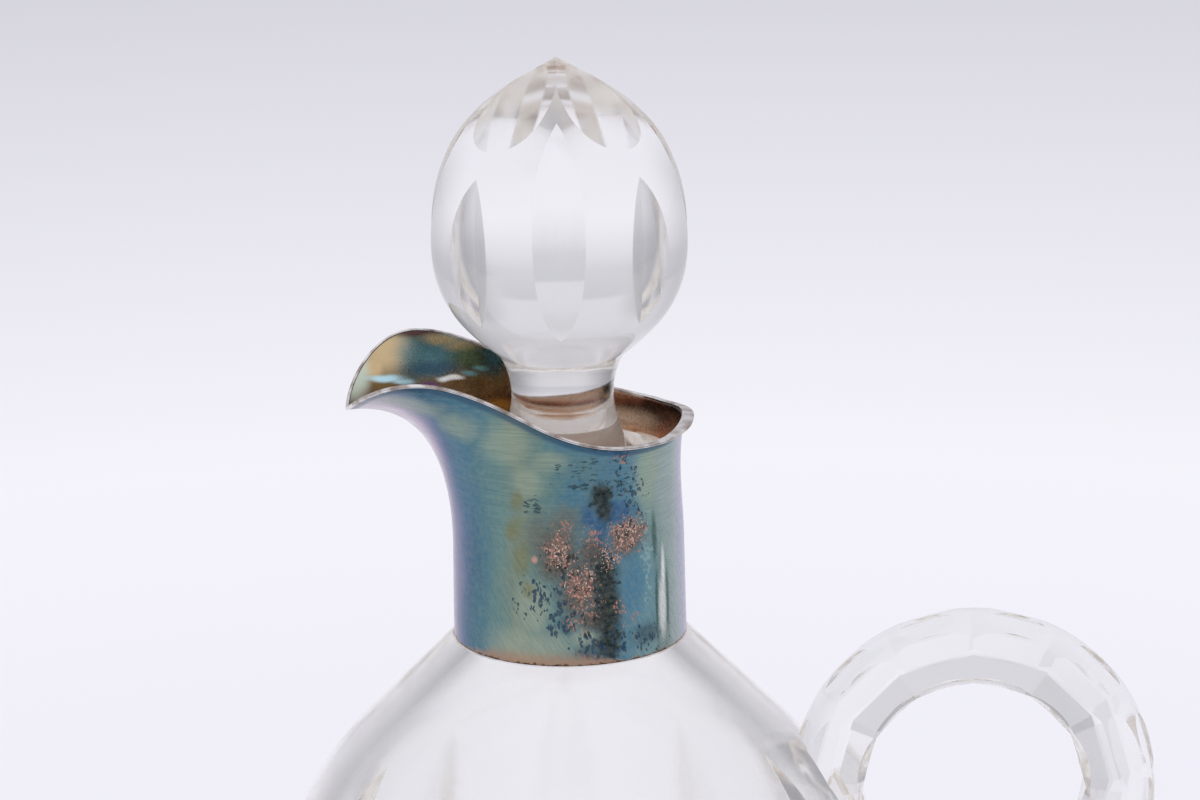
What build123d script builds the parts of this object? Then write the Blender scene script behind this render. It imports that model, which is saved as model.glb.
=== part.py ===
from build123d import *
from math import acos, atan2, copysign, cos, degrees, radians, sin, sqrt, tan
import os

# Cut-glass claret jug with a plated spout collar and a loose ground stopper. Millimetres, +Z up.
# The origin is where the jug's axis meets the surface it stands on. The spout points to -X and
# the loop handle to +X.

# Glass body: a blown globe on a ground flat. Its shoulder runs straight up from the globe to the
# collar's foot, and its neck stands up inside the collar.
globe_r = 57.0
flat_r = 35.0  # ground flat that it stands on
globe_wall = 5.5
floor_thick = 9.0
collar_above_globe = 1.7  # from the globe's full height up to the collar's foot
neck_height = 35.0
seat_lip = 0.3  # glass showing round the collar's foot
seat_gap = 0.05
throat_r = 10.9
foot_bevel = 1.0

# Star cut into the underside
star_rays = 16
standing_ring = 8.0  # flat left round the star
star_valley_r = 7.0
star_depth = 2.0

# Mitre cuts round the globe: long lenses with shorter ones between them
cut_pairs = 6
cut_turn = 2.0
globe_cut_half_angle = 69.0
long_cut_top = 46.0  # angle from the pole down to the lens tip
long_cut_bottom = 131.0
long_cut_depth = 2.8
short_cut_top = 62.0
short_cut_bottom = 118.0
short_cut_depth = 2.1

# Loop handle: a glass ring cut with rows of facets and applied to the globe's shoulder
ring_stand_off = 23.8  # from the globe out to the ring's centre
ring_rise_angle = 19.1
ring_r = 27.5
rod_r = 7.3
facets_round = 12
facet_row_angles = (22.5, 67.5, 112.5, 180.0, 247.5, 292.5, 337.5)  # round the rod from its outside
facet_depth = 0.45
facet_turn = 15.0  # angle of the first facet's middle round the ring

# Spout collar: a drawn tube hammered out into a broad lip, its rim trimmed to a swept line.
# Heights here are from the collar's foot.
collar_top_r = 21.7
collar_taper = 0.4
collar_wall = 0.7
flare_start = 18.0
rim_back_z = 41.8
rim_back_flare = 0.8
rim_low_z = 41.0
rim_low_x = 18.0
rim_rise_power = 1.25
round_end_angle = 110.0  # the rim is round as far as this from the handle side
crest_x = 28.0
crest_half_width = 18.9
crest_z = 54.2
lip_x = 40.9
lip_z = 44.8
lip_droop_angle = 5.0
lip_root_pull = 20.0
lip_edge_pull = 12.0
back_tilt_angle = 76.0
back_edge_pull = 8.0
round_rows = 19
side_rows = 10
lip_rows = 12
tube_rows = 4
flare_rows = 8
surface_tolerance = 0.005

# Wire soldered along the rim
wire_r = 0.35
wire_gap = 0.03
wire_places = 40

# Plaster between the neck and the collar
plaster_thick = 2.6
plaster_gap = 0.05
plaster_below_neck = 0.6

# Stopper: a faceted knob on a waist and a ground plug. It stands a little to the spout side.
stopper_offset = -0.6
plug_mouth_r = 12.3
plug_end_r = 10.4
plug_length = 26.0
plug_clearance = 0.04
plug_end_bevel = 0.8
flare_r = 10.86  # where the ground cone turns in to the waist
flare_above_mouth = 6.1
waist_r = 9.7
waist_above_mouth = 11.2
crease_r = 11.9
crease_above_mouth = 20.3
knob_r = 24.5
knob_centre_above_mouth = 45.0
# Places on the knob: how far in from its full radius, and how far above its widest part
belly = (3.6, -15.5)
shoulder = (6.1, 18.5)
crown = (14.5, 26.6)
blank_top_rise = 33.4
apex_rise = 32.6
ridge_fall = 0.55  # drop of a crown ridge over its run
crown_facets = 4
knob_cut_pairs = 4
knob_cut_half_angle = 68.0
knob_long_cut = ((11.2, 24.2), (2.7, 2.5), (4.3, -16.0))  # top, deepest and bottom of its path
knob_short_cut = ((3.0, 13.0), (2.4, -0.5), (3.5, -14.8))

# Wheels that cut the mitres
cutter_height = 7.0
globe_cut_overrun = 8.0  # how far the path's circle runs on past each tip, in degrees
knob_cut_overrun = 14.0

# Worked out from the sizes above
collar_foot_r = collar_top_r + collar_taper
neck_r = collar_top_r - collar_wall - plaster_thick
seat_r = collar_foot_r + seat_lip
globe_centre_z = sqrt(globe_r**2 - flat_r**2)
collar_foot_z = globe_centre_z + globe_r + collar_above_globe
star_r = flat_r - standing_ring
mouth_z = collar_foot_z + neck_height
seat_z = collar_foot_z - seat_gap
shoulder_turn = atan2(seat_r, seat_z - globe_centre_z) + acos(
    globe_r / sqrt(seat_r**2 + (seat_z - globe_centre_z) ** 2)
)  # from the pole to where the shoulder meets the globe
inner_r = globe_r - globe_wall
ring_centre_x = (globe_r + ring_stand_off) * cos(radians(ring_rise_angle))
ring_centre_z = globe_centre_z + (globe_r + ring_stand_off) * sin(radians(ring_rise_angle))


def globe_radius(z):
    return sqrt(globe_r ** 2 - (z - globe_centre_z) ** 2)


def cavity_radius(z):
    return sqrt(inner_r ** 2 - (z - globe_centre_z) ** 2)


def circle_through(first, middle, last):
    """Centre and radius of the circle through three points of a half-plane."""
    (ax, az), (bx, bz), (cx, cz) = first, middle, last
    twice = 2 * (ax * (bz - cz) + bx * (cz - az) + cx * (az - bz))
    a_sq = ax * ax + az * az
    b_sq = bx * bx + bz * bz
    c_sq = cx * cx + cz * cz
    x = (a_sq * (bz - cz) + b_sq * (cz - az) + c_sq * (az - bz)) / twice
    z = (a_sq * (cx - bx) + b_sq * (ax - cx) + c_sq * (bx - ax)) / twice
    return (x, z), sqrt((ax - x) ** 2 + (az - z) ** 2)


def mitre_cutter(top, deepest, bottom, half_angle, overrun):
    """A V wheel's path: the groove's bottom runs through three points of the X-Z plane."""
    (x, z), radius = circle_through(top, deepest, bottom)
    start = degrees(atan2(bottom[1] - z, bottom[0] - x)) - overrun
    end = degrees(atan2(top[1] - z, top[0] - x)) + overrun
    spread = cutter_height * tan(radians(half_angle))
    groove = Polyline(
        (radius, 0), (radius + cutter_height, spread), (radius + cutter_height, -spread), close=True
    )
    section = Plane.XY * make_face(groove)
    wheel = revolve(section, Axis.Y, end - start)
    # revolving about +Y turns +X towards -Z, so the path is laid from its top end
    turned = Rot(0, -end, 0) * wheel
    return Pos(x, 0, z) * turned


def polar_point(angle, radius):
    """A point of the globe's meridian, with the angle taken from the pole."""
    return (
        radius * sin(radians(angle)),
        globe_centre_z + radius * cos(radians(angle)),
    )


def globe_cutter(top, bottom, depth):
    middle = (top + bottom) / 2
    return mitre_cutter(
        polar_point(top, globe_r),
        polar_point(middle, globe_r - depth),
        polar_point(bottom, globe_r),
        globe_cut_half_angle,
        globe_cut_overrun,
    )


def star_cutter():
    """Rays that meet in the middle of the base and end short of the flat it stands on."""
    corners = []
    for step in range(2 * star_rays):
        reach = star_valley_r if step % 2 else star_r
        turn = radians(180 * step / star_rays)
        corners.append((reach * cos(turn), reach * sin(turn)))
    return loft([make_face(Polyline(*corners, close=True)), Vertex(0, 0, star_depth)])


def glass_body():
    foot_r = globe_radius(foot_bevel)
    hip = polar_point(degrees(shoulder_turn), globe_r)
    outline = [
        Line((0, 0), (foot_r - foot_bevel, 0)),
        Line((foot_r - foot_bevel, 0), (foot_r, foot_bevel)),
        ThreePointArc((foot_r, foot_bevel), (globe_r, globe_centre_z), hip),
        Line(hip, (seat_r, seat_z)),
        Line((seat_r, seat_z), (neck_r, seat_z)),
        Line((neck_r, seat_z), (neck_r, mouth_z)),
        Line((neck_r, mouth_z), (0, mouth_z)),
        Line((0, mouth_z), (0, 0)),
    ]
    blank = revolve(Plane.XZ * make_face(Wire(outline)), Axis.Z)
    floor_r = cavity_radius(floor_thick)
    inner_hip = polar_point(degrees(shoulder_turn), inner_r)
    throat_z = inner_hip[1] + (inner_hip[0] - throat_r) * tan(shoulder_turn)
    plug_end_z = mouth_z - plug_length
    chamber = [
        Line((0, floor_thick), (floor_r, floor_thick)),
        ThreePointArc((floor_r, floor_thick), (inner_r, globe_centre_z), inner_hip),
        Line(inner_hip, (throat_r, throat_z)),
        Line((throat_r, throat_z), (throat_r, plug_end_z)),
        Line((throat_r, plug_end_z), (0, plug_end_z)),
        Line((0, plug_end_z), (0, floor_thick)),
    ]
    ground_bore = Pos(stopper_offset, 0, mouth_z - plug_length / 2) * Cone(
        plug_end_r + plug_clearance, plug_mouth_r + plug_clearance, plug_length
    )
    cutters = [revolve(Plane.XZ * make_face(Wire(chamber)), Axis.Z), ground_bore, star_cutter()]
    long_cutter = globe_cutter(long_cut_top, long_cut_bottom, long_cut_depth)
    short_cutter = globe_cutter(short_cut_top, short_cut_bottom, short_cut_depth)
    step = 180 / cut_pairs
    for place in range(2 * cut_pairs):
        turn = (place * step - 90 + cut_turn + 180) % 360 - 180
        if abs(turn) > step / 2:  # the handle's root takes the place of one cut
            cutters.append(Rot(0, 0, turn) * (short_cutter if place % 2 else long_cutter))
    return blank - cutters


def facet_block(row_angle):
    """What a flat wheel takes off one facet, inside that facet's share of the ring."""
    far = 2 * (ring_r + rod_r)
    half = far * tan(radians(180 / facets_round))
    share = extrude(make_face(Polyline((0, 0), (far, half), (far, -half), close=True)), far, both=True)
    block = Box(2 * rod_r, far, 2 * rod_r, align=(Align.MIN, Align.CENTER, Align.CENTER))
    flat = Pos(ring_r, 0, 0) * Rot(0, row_angle, 0) * Pos(rod_r - facet_depth, 0, 0)
    return flat * block & share


def loop_handle():
    facets = []
    for row_angle in facet_row_angles:
        block = facet_block(row_angle)
        for place in range(facets_round):
            facets.append(Rot(0, 0, facet_turn + place * 360 / facets_round) * block)
    ring = Torus(ring_r, rod_r) - facets
    standing = Pos(ring_centre_x, 0, ring_centre_z) * Rot(90, 0, 0) * ring
    return standing - Pos(0, 0, globe_centre_z) * Sphere(globe_r)


def rim_height(x):
    """Height of the rim's swept line over a place along the jug."""
    if x > rim_low_x:
        rise = (x - rim_low_x) / (collar_top_r - rim_low_x)
        return rim_low_z + (rim_back_z - rim_low_z) * rise ** 2
    rise = ((rim_low_x - x) / (rim_low_x + crest_x)) ** rim_rise_power
    return rim_low_z + (crest_z - rim_low_z) * rise ** 2 * (3 - 2 * rise)


def bezier(points, t):
    start, first, second, end = points
    s = 1 - t
    return start * s ** 3 + first * (3 * s * s * t) + second * (3 * s * t * t) + end * t ** 3


def rim_points():
    """One side's rim from the handle round to the lip."""
    turn = radians(round_end_angle)
    round_end = Vector(cos(turn), sin(turn)) * collar_top_r
    onward = Vector(-sin(turn), cos(turn))
    crest = Vector(-crest_x, crest_half_width)
    pull = (round_end - crest).length / 3
    side = [round_end, round_end + onward * pull, crest + Vector(pull, 0), crest]
    points = []
    for row in range(round_rows):
        turn = radians(round_end_angle * row / round_rows)
        reach = collar_top_r + rim_back_flare * max(cos(turn), 0) ** 2
        x, y = reach * cos(turn), reach * sin(turn)
        points.append(Vector(x, y, rim_height(x)))
    for row in range(side_rows):
        spot = bezier(side, row / side_rows)
        points.append(Vector(spot.X, spot.Y, rim_height(spot.X)))
    for row in range(lip_rows + 1):
        turn = radians(90 * row / lip_rows)
        x = -crest_x - (lip_x - crest_x) * sin(turn)
        z = lip_z + (crest_z - lip_z) * max(cos(turn), 0) ** 1.4
        points.append(Vector(x, crest_half_width * cos(turn), z))
    return points


def collar_profile(rim):
    """Outer face of the collar, from a little under its foot straight out to a point of the rim."""
    outward = Vector(rim.X, rim.Y, 0).normalized()
    reach = Vector(rim.X, rim.Y, 0).length
    root_r = collar_foot_r + (collar_top_r - collar_foot_r) * flare_start / rim_back_z
    back = max(outward.X, 0) ** 2
    lean = 0 if back else max((reach - collar_top_r) / (lip_x - collar_top_r), 0)
    straight = (rim.Z - flare_start) / 3
    root_pull = straight + (lip_root_pull - straight) * lean
    edge_pull = straight + (lip_edge_pull - straight) * lean + (back_edge_pull - straight) * back
    tilt = radians(90 - (90 + lip_droop_angle) * lean ** 1.5 - (90 - back_tilt_angle) * back)
    foot = outward * collar_foot_r
    root = outward * root_r + Vector(0, 0, flare_start)
    edge = outward * (reach - edge_pull * cos(tilt)) + Vector(0, 0, rim.Z - edge_pull * sin(tilt))
    curve = [root, root + Vector(0, 0, root_pull), edge, outward * reach + Vector(0, 0, rim.Z)]
    tube = [foot + (root - foot) * (row / tube_rows) for row in range(-1, tube_rows)]
    return tube + [bezier(curve, row / flare_rows) for row in range(flare_rows + 1)]


def mirrored(point):
    return Vector(point.X, -point.Y, point.Z)


def collar_side():
    """Outer face of one side of the collar, a little past where its foot and middle are trimmed."""
    rims = rim_points()
    rims = [mirrored(rims[1])] + rims + [mirrored(rims[-2])]
    rows = [collar_profile(rim) for rim in rims]
    return Face.make_surface_from_array_of_points(rows, tol=surface_tolerance, min_deg=3)


def one_side(solid):
    """What of a solid stands over the collar's foot on the jug's left."""
    return solid & Box(4 * lip_x, 4 * lip_x, 4 * crest_z, align=(Align.CENTER, Align.MIN, Align.MIN))


def both_sides(side):
    """Join one side to its mirror image and stand it on the glass."""
    return Pos(0, 0, collar_foot_z) * side.fuse(side.mirror(Plane.XZ))


def rim_wire(face):
    """A round wire lying on the collar's edge all the way round."""
    rim = face.edges().sort_by(Axis.Z)[-1]
    turn = copysign(1, face.normal_at(rim @ 0.5).cross(rim % 0.5).Z)
    centres = []
    for place in range(wire_places + 1):
        spot = rim @ (place / wire_places)
        outward = face.normal_at(spot)
        upward = outward.cross(rim % (place / wire_places)) * turn
        centres.append(spot - outward * (collar_wall / 2) + upward * (wire_r + wire_gap))
    path = Edge.make_spline(centres)
    section = Plane(path @ 0, z_dir=path % 0) * Circle(wire_r)
    return both_sides(one_side(sweep(section, path)))


def plaster_bed(collar_wall_side):
    """Plaster poured between the neck and the collar, up to just below the mouth."""
    depth = neck_height - plaster_below_neck - 2 * plaster_gap
    blank = Cylinder(collar_foot_r + lip_x, depth, align=(Align.CENTER, Align.CENTER, Align.MIN))
    poured = one_side(Pos(0, 0, plaster_gap) * blank) - collar_wall_side
    inside = poured.solids().sort_by_distance((0, 0, plaster_gap))[0]
    return both_sides(inside - Cylinder(neck_r + plaster_gap, 2 * mouth_z))


def on_knob(place):
    """A point of the stopper's half-plane, with the neck's mouth at zero height."""
    inset, rise = place
    return knob_r - inset, knob_centre_above_mouth + rise


def knob_cutter(cut):
    return mitre_cutter(*[on_knob(place) for place in cut], knob_cut_half_angle, knob_cut_overrun)


def stopper():
    """Built with the neck's mouth at zero height."""
    blank_top = knob_centre_above_mouth + blank_top_rise
    outline = [
        Line((0, -plug_length), (plug_end_r - plug_end_bevel, -plug_length)),
        Line((plug_end_r - plug_end_bevel, -plug_length), (plug_end_r, plug_end_bevel - plug_length)),
        Line((plug_end_r, plug_end_bevel - plug_length), (plug_mouth_r, 0)),
        Line((plug_mouth_r, 0), (flare_r, flare_above_mouth)),
        ThreePointArc(
            (flare_r, flare_above_mouth), (waist_r, waist_above_mouth), (crease_r, crease_above_mouth)
        ),
        Spline(
            (crease_r, crease_above_mouth),
            on_knob(belly),
            on_knob((0, 0)),
            on_knob(shoulder),
            on_knob(crown),
            (0, blank_top),
        ),
        Line((0, blank_top), (0, -plug_length)),
    ]
    blank = revolve(Plane.XZ * make_face(Wire(outline)), Axis.Z)
    cutters = []
    facet_fall = degrees(atan2(ridge_fall * sqrt(2), 1))
    slab = Pos(0, 0, knob_centre_above_mouth + apex_rise) * Rot(0, facet_fall, 0) * Box(
        6 * knob_r, 6 * knob_r, knob_r, align=(Align.CENTER, Align.CENTER, Align.MIN)
    )
    for facet in range(crown_facets):
        cutters.append(Rot(0, 0, 45 + facet * 360 / crown_facets) * slab)
    long_cutter = knob_cutter(knob_long_cut)
    short_cutter = knob_cutter(knob_short_cut)
    step = 180 / knob_cut_pairs
    for place in range(2 * knob_cut_pairs):
        cutters.append(Rot(0, 0, place * step) * (short_cutter if place % 2 else long_cutter))
    return Pos(stopper_offset, 0, mouth_z) * (blank - cutters)


collar_face = collar_side()
collar_wall_side = one_side(Solid.thicken(collar_face, -collar_wall))
sub_parts = {
    "glass_body": glass_body(),
    "loop_handle": loop_handle(),
    "spout_collar": both_sides(collar_wall_side),
    "rim_wire": rim_wire(collar_face),
    "plaster_bed": plaster_bed(collar_wall_side),
    "stopper": stopper(),
}
os.makedirs("parts", exist_ok=True)
for name, solid in sub_parts.items():
    export_step(solid, f"parts/{name}.step")
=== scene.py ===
from functools import reduce
from math import acos, atan2, cos, degrees, pi, radians, sin, sqrt, tan

import bmesh
import bpy
import numpy as np
from mathutils import Matrix, Vector, noise


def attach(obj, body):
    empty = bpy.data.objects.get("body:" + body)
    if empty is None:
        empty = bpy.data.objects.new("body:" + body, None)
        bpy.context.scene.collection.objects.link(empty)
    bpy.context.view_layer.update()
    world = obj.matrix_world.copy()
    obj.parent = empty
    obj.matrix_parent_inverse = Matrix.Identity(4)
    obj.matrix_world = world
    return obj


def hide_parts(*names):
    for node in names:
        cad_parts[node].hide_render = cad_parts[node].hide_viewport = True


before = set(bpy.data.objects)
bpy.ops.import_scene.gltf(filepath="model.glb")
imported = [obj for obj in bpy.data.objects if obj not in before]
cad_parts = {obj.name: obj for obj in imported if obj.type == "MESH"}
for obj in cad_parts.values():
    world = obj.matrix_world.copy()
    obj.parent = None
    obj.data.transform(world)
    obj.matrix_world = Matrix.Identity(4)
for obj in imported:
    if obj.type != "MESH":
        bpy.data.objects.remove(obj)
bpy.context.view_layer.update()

# A cut-crystal claret jug with a tarnished plate spout collar and a loose ground stopper.
# The spout points to -X, the handle to +X. Metres throughout; the dictionaries are in millimetres.
mm = 0.001


def toLinear(hexColour):
    channels = [int(hexColour[i:i + 2], 16) / 255 for i in (1, 3, 5)]
    return tuple(c / 12.92 if c <= 0.04045 else ((c + 0.055) / 1.055) ** 2.4 for c in channels) + (1.0,)


def fill(socket, value):
    # a socket takes a number, a tuple, a hex colour or another node's output
    if isinstance(value, bpy.types.NodeSocket):
        socket.id_data.links.new(value, socket)
    else:
        socket.default_value = toLinear(value) if isinstance(value, str) else value


def addNode(tree, kind, settings=None):
    # settings are the node's own properties, then what fills its sockets
    node = tree.nodes.new("ShaderNode" + kind)
    for name, value in (settings or {}).items():
        if isinstance(name, str) and name not in node.inputs and hasattr(node, name):
            setattr(node, name, value)
        else:
            fill(node.inputs[name], value)
    return node


def newMaterial(name):
    material = bpy.data.materials.new(name)
    material.use_nodes = True
    material.node_tree.nodes.clear()
    return material, material.node_tree


def treeOf(*values):
    # the node tree that the first node output among the values belongs to
    return next(value.id_data for value in values if isinstance(value, bpy.types.NodeSocket))


def worth(operation, first, second=0.0):
    # one sum on two values, each a number or a node's output
    return addNode(treeOf(first, second), "Math", {"operation": operation, 0: first, 1: second}).outputs[0]


def plus(first, second):
    return worth("ADD", first, second)


def minus(first, second):
    return worth("SUBTRACT", first, second)


def times(first, second):
    return worth("MULTIPLY", first, second)


def scaledBy(place, factors):
    return addNode(place.id_data, "VectorMath", {
        "operation": "MULTIPLY", 0: place, 1: tuple(factors)}).outputs[0]


def lengthOf(place):
    return addNode(place.id_data, "VectorMath", {"operation": "LENGTH", 0: place}).outputs["Value"]


def noiseFrom(place, size, detail=3.0, roughness=0.5, stretch=(1, 1, 1)):
    # size is in the units of place; a stretch over 1 draws the pattern out along that axis
    return addNode(place.id_data, "TexNoise", {
        "Scale": 1.0, "Detail": detail, "Roughness": roughness,
        "Vector": scaledBy(place, [1 / (size * k) for k in stretch])}).outputs["Fac"]


def between(value, low, high, atLow=0.0, atHigh=1.0):
    # runs smoothly from one amount to another while the value goes from low to high
    return addNode(value.id_data, "MapRange", {
        "interpolation_type": "SMOOTHSTEP", "From Min": low, "From Max": high, "To Min": atLow,
        "To Max": atHigh, "Value": value}).outputs["Result"]


def blended(share, under, over):
    # share of the over colour laid on the under colour
    return addNode(treeOf(share, under, over), "Mix", {
        "data_type": "RGBA", 0: share, 6: under, 7: over}).outputs[2]


def coloured(value, stops):
    ramp = addNode(value.id_data, "ValToRGB", {"Fac": value})
    elements = ramp.color_ramp.elements
    elements[0].position, elements[0].color = stops[0][0], toLinear(stops[0][1])
    elements[1].position, elements[1].color = stops[-1][0], toLinear(stops[-1][1])
    for position, colour in stops[1:-1]:
        elements.new(position).color = toLinear(colour)
    return ramp.outputs["Color"]


def partsOf(place):
    # the three coordinates of a place
    split = addNode(place.id_data, "SeparateXYZ", {0: place})
    return split.outputs["X"], split.outputs["Y"], split.outputs["Z"]


def placeAt(x, y, z=0.0):
    return addNode(treeOf(x, y, z), "CombineXYZ", {0: x, 1: y, 2: z}).outputs[0]


def mixedShader(share, first, second):
    return addNode(first.id_data, "MixShader", {0: share, 1: first.outputs[0], 2: second.outputs[0]})


def surfaced(shader):
    addNode(shader.id_data, "OutputMaterial", {"Surface": shader.outputs[0]})


def unit(vectors, least=0.0):
    return vectors / np.maximum(np.linalg.norm(vectors, axis=-1, keepdims=True), least)


def linked(name, data):
    thing = bpy.data.objects.new(name, data)
    bpy.context.scene.collection.objects.link(thing)
    return thing


def newPiece(name, points, faces):
    mesh = bpy.data.meshes.new(name)
    mesh.from_pydata([tuple(p) for p in points], [], faces)
    shaper = bmesh.new()
    shaper.from_mesh(mesh)
    bmesh.ops.recalc_face_normals(shaper, faces=shaper.faces)
    shaper.to_mesh(mesh)
    shaper.free()
    return linked(name, mesh)


def loopedFaces(rows, columns, closedRows=False):
    # quads between rows of points, each row a closed ring of columns
    faces = []
    for row in range(rows if closedRows else rows - 1):
        a, b = row * columns, (row + 1) % rows * columns
        for column in range(columns):
            onward = (column + 1) % columns
            faces.append((a + column, a + onward, b + onward, b + column))
    return faces


def inMetres(profile):
    return [(r * mm, z * mm) for r, z in profile]


def revolved(name, profile, steps):
    # the profile, in millimetres, runs from one point on the axis to another
    profile = inMetres(profile)
    inner = profile[1:-1]
    turns = [2 * pi * step / steps for step in range(steps)]
    points = [(r * cos(t), r * sin(t), z) for r, z in inner for t in turns]
    faces = loopedFaces(len(inner), steps)
    first, last = len(points), len(points) + 1
    points += [(0, 0, profile[0][1]), (0, 0, profile[-1][1])]
    top = (len(inner) - 1) * steps
    for step in range(steps):
        onward = (step + 1) % steps
        faces.append((first, step, onward))
        faces.append((last, top + onward, top + step))
    return newPiece(name, points, faces)


def discard(tool):
    mesh = tool.data
    bpy.data.objects.remove(tool)
    bpy.data.meshes.remove(mesh)


def worked(piece, tool, operation="DIFFERENCE"):
    # one boolean, applied to the mesh, with the tool used up
    modifier = piece.modifiers.new("work", "BOOLEAN")
    modifier.operation = operation
    modifier.solver = "MANIFOLD"
    modifier.object = tool
    depsgraph = bpy.context.evaluated_depsgraph_get()
    mesh = bpy.data.meshes.new_from_object(piece.evaluated_get(depsgraph), depsgraph=depsgraph)
    piece.modifiers.clear()
    old, piece.data = piece.data, mesh
    mesh.name = piece.name
    bpy.data.meshes.remove(old)
    discard(tool)
    return piece


def placed(piece, at):
    piece.data.transform(Matrix.Translation(at))
    return piece


def turnedCopy(tool, angle):
    copy = linked(tool.name, tool.data.copy())
    copy.data.transform(Matrix.Rotation(angle, 4, "Z"))
    return copy


def readOut(collection, name, wide=1, kind=float):
    values = np.empty(len(collection) * wide, kind)
    collection.foreach_get(name, values)
    return values.reshape(-1, wide) if wide > 1 else values


# a face lies on a form if it is this near in millimetres and faces this nearly the same way
onForm = {"within": 0.012, "alike": 0.96}


def polished(piece, sharpAngle, forms=()):
    # smooth between sharp edges, with exact normals on every face that lies on one of the forms
    mesh = piece.data
    mesh.shade_smooth()
    mesh.set_sharp_from_angle(angle=radians(sharpAngle))
    points = readOut(mesh.vertices, "co", 3)
    corners = readOut(mesh.loops, "vertex_index", kind=int)
    starts = readOut(mesh.polygons, "loop_start", kind=int)
    faceOf = np.repeat(np.arange(len(starts)), readOut(mesh.polygons, "loop_total", kind=int))
    faceNormals = readOut(mesh.polygons, "normal", 3)
    normals = readOut(mesh.corner_normals, "vector", 3)
    for form in forms:
        off, across = form(points)
        near = np.logical_and.reduceat((np.abs(off) < onForm["within"] * mm)[corners], starts)
        exact = across[corners]
        faceWay = np.sum(faceNormals[faceOf] * exact, axis=1)
        alike = np.logical_and.reduceat(np.abs(faceWay) > onForm["alike"], starts)
        chosen = (near & alike)[faceOf]
        normals[chosen] = exact[chosen] * np.sign(faceWay[chosen])[:, None]
    mesh.normals_split_custom_set(normals)
    return piece


def marked(piece, name, values):
    # a number for each point, for the materials to read
    piece.data.attributes.new(name, "FLOAT", "POINT").data.foreach_set("value", values)


def ballForm(centre, radius):
    def form(points):
        away = points - np.array(centre)
        return np.linalg.norm(away, axis=1) - radius, unit(away, 1e-9)
    return form


def turnedForm(profile):
    # a stretch of a lathe profile with rising z
    radii, heights = np.array(profile).T
    slopes = np.gradient(radii, heights)

    def form(points):
        x, y, z = points.T
        reach = np.hypot(x, y)
        least = np.maximum(reach, 1e-9)
        off = reach - np.interp(z, heights, radii)
        off[(z < heights[0] - 1e-6) | (z > heights[-1] + 1e-6)] = 1
        return off, unit(np.stack([x / least, y / least, -np.interp(z, heights, slopes)], 1))
    return form


def ringForm(centre, radius, rod):
    # a ring standing in the X-Z plane
    def form(points):
        away = points - np.array(centre)
        reach = np.hypot(away[:, 0], away[:, 2])
        middle = np.stack([away[:, 0] / reach * radius, 0 * reach, away[:, 2] / reach * radius], 1)
        out = away - middle
        return np.linalg.norm(out, axis=1) - rod, unit(out, 1e-9)
    return form


def flatForm(point, across):
    def form(points):
        return (points - np.array(point)) @ np.array(across), np.tile(across, (len(points), 1))
    return form


def circleThrough(first, middle, last):
    (ax, az), (bx, bz), (cx, cz) = first, middle, last
    twice = 2 * (ax * (bz - cz) + bx * (cz - az) + cx * (az - bz))
    aSq, bSq, cSq = ax * ax + az * az, bx * bx + bz * bz, cx * cx + cz * cz
    x = (aSq * (bz - cz) + bSq * (cz - az) + cSq * (az - bz)) / twice
    z = (aSq * (cx - bx) + bSq * (ax - cx) + cSq * (bx - ax)) / twice
    return x, z, sqrt((ax - x) ** 2 + (az - z) ** 2)


mitreWheel = {"height": 7.0, "steps": 220}


def mitreTool(name, top, deepest, bottom, halfAngle, overrun):
    # the groove's bottom runs through three points of the X-Z plane
    x, z, radius = circleThrough(top, deepest, bottom)
    start = degrees(atan2(bottom[1] - z, bottom[0] - x)) - overrun
    end = degrees(atan2(top[1] - z, top[0] - x)) + overrun
    height = mitreWheel["height"] * mm
    spread = height * tan(radians(halfAngle))
    points, steps = [], mitreWheel["steps"]
    for step in range(steps + 1):
        turn = radians(start + (end - start) * step / steps)
        for reach, side in ((radius, 0), (radius + height, spread), (radius + height, -spread)):
            points.append((x + reach * cos(turn), side, z + reach * sin(turn)))
    ends = [(0, 1, 2), (3 * steps, 3 * steps + 2, 3 * steps + 1)]
    return newPiece(name, points, loopedFaces(steps + 1, 3) + ends)


def objectPlace(tree):
    return addNode(tree, "TexCoord").outputs["Object"]


def bumped(height, strength, distance):
    return addNode(height.id_data, "Bump", {
        "Strength": strength, "Distance": distance * mm, "Height": height}).outputs["Normal"]


def seenDirectly(tree):
    # 1 for what the camera, a reflection or a refraction sees, 0 for what lights a plain surface
    path = addNode(tree, "LightPath").outputs
    return worth("MAXIMUM", worth("MAXIMUM", path["Is Camera Ray"], path["Is Glossy Ray"]),
                 path["Is Transmission Ray"])


# deepest and longest are bounces; bumps are pattern size, strength and depth in mm
crystalLook = {"ior": 1.545, "polish": 0.1, "ground": 0.42, "shadow": 0.9, "deepest": 3.5, "longest": 9.5,
               "wave": (9.0, 0.12, 0.05), "frost": (0.25, 0.35, 0.02), "depthSize": 7.0,
               "depths": ((0.3, "#9b8c81"), (0.42, "#c6bdb7"), (0.52, "#ebe8e8"), (0.62, "#d0c8c2"),
                          (0.74, "#a99c92"))}


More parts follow.
